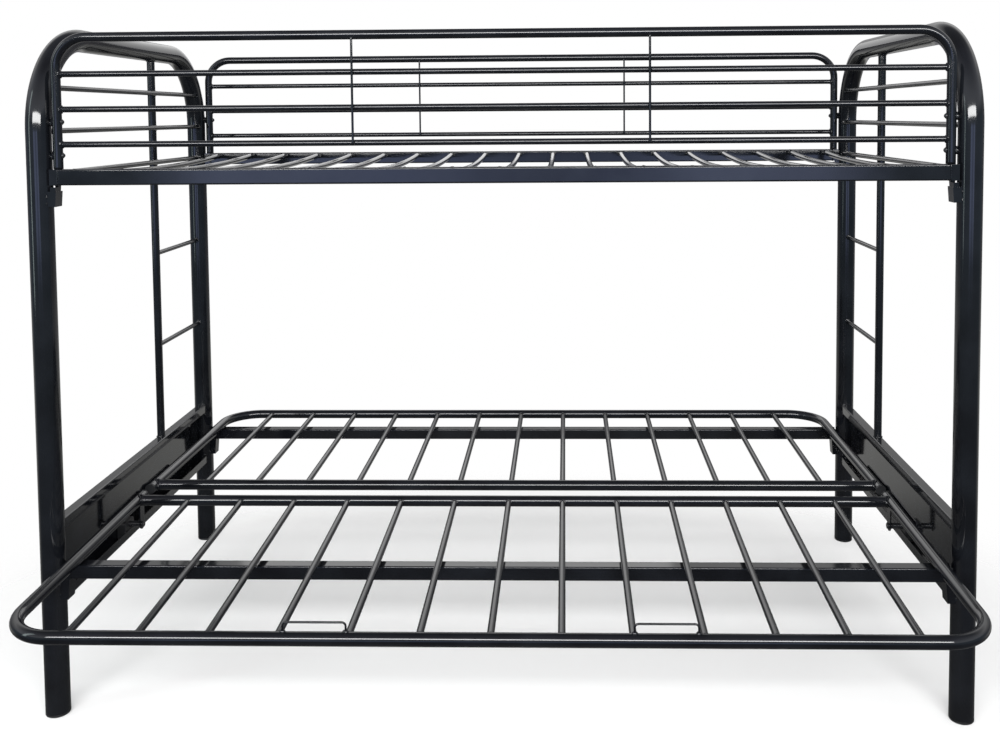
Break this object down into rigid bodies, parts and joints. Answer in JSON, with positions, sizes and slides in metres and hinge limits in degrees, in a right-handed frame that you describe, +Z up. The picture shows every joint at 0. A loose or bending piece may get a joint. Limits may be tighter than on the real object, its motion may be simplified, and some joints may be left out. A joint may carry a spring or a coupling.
{
  "type": "futon bunk bed",
  "caption": "Metal bunk bed: a slatted upper bunk with guard rails and end ladders between two tube hoops, over a futon that folds from bed to sofa.",
  "frame": {"origin": "on the floor, in the middle of the bed's outline seen from above, with the futon flat as a bed", "axes": "+X along the bed to its right end, +Y to its rear, +Z up"},
  "size_m": [1.9808, 1.3826, 1.4799],
  "materials": {
    "black_enamel": "gloss black powder coat on steel tube and sheet",
    "black_plastic": "black moulded plastic",
    "black_fasteners": "black-plated steel"
  },
  "bodies": {
    "frame": {"deck_bar_left": "black_enamel", "deck_bar_right": "black_enamel", "end_bars_left": "black_enamel", "end_bars_right": "black_enamel", "end_panel_left": "black_enamel", "end_panel_right": "black_enamel", "foot_cap_front_left": "black_plastic", "foot_cap_front_right": "black_plastic", "foot_cap_rear_left": "black_plastic", "foot_cap_rear_right": "black_plastic", "guard_bars_front": "black_enamel", "guard_bars_rear": "black_enamel", "guard_bolts": "black_fasteners", "guard_frame_front": "black_enamel", "guard_frame_rear": "black_enamel", "guard_rods_front": "black_enamel", "guard_rods_rear": "black_enamel", "guard_spacers": "black_enamel", "hoop_left": "black_enamel", "hoop_right": "black_enamel", "ladder_post_left": "black_enamel", "ladder_post_right": "black_enamel", "ladder_rungs_left": "black_enamel", "ladder_rungs_right": "black_enamel", "leg_inserts": "black_fasteners", "lower_sockets": "black_enamel", "lower_stretcher_front": "black_enamel", "lower_stretcher_rear": "black_enamel", "stretcher_hooks": "black_enamel", "upper_rail_front": "black_enamel", "upper_rail_hooks": "black_enamel", "upper_rail_rear": "black_enamel", "upper_slats": "black_enamel", "upper_sockets": "black_enamel"},
    "runners": {"runner_bolts": "black_fasteners", "runner_left": "black_plastic", "runner_right": "black_plastic", "runner_sleeves": "black_fasteners"},
    "seat": {"mattress_loop_left": "black_enamel", "mattress_loop_right": "black_enamel", "seat_frame": "black_enamel", "seat_hinge_plate_left": "black_enamel", "seat_hinge_plate_right": "black_enamel", "seat_plate_bolts": "black_fasteners", "seat_rear_bar": "black_enamel", "seat_slats": "black_enamel", "seat_tube_plugs": "black_plastic"},
    "back": {"back_frame": "black_enamel", "back_front_bar": "black_enamel", "back_hinge_plate_left": "black_enamel", "back_hinge_plate_right": "black_enamel", "back_plate_bolts": "black_fasteners", "back_slats": "black_enamel", "back_tube_plugs": "black_plastic", "hinge_pin_nuts": "black_fasteners", "hinge_pins": "black_fasteners"}
  },
  "joints": [
    {"name": "runner_slide", "type": "slide", "parent": "frame", "child": "runners", "axis": [0, 1, 0], "range_m": [0, 0.28]},
    {"name": "seat_tilt", "type": "hinge", "parent": "runners", "child": "seat", "pos_m": [0, 0.006, 0.273], "axis": [1, 0, 0], "range_deg": [-0.83, 0]},
    {"name": "back_fold", "type": "hinge", "parent": "seat", "child": "back", "pos_m": [0, 0.006, 0.345], "axis": [1, 0, 0], "range_deg": [0, 75.2]}
  ],
  "couplings": [
    {"joint": "seat_tilt", "follows": "runner_slide", "rad_per_m": -0.05},
    {"joint": "back_fold", "follows": "runner_slide", "rad_per_m": 4.675}
  ]
}
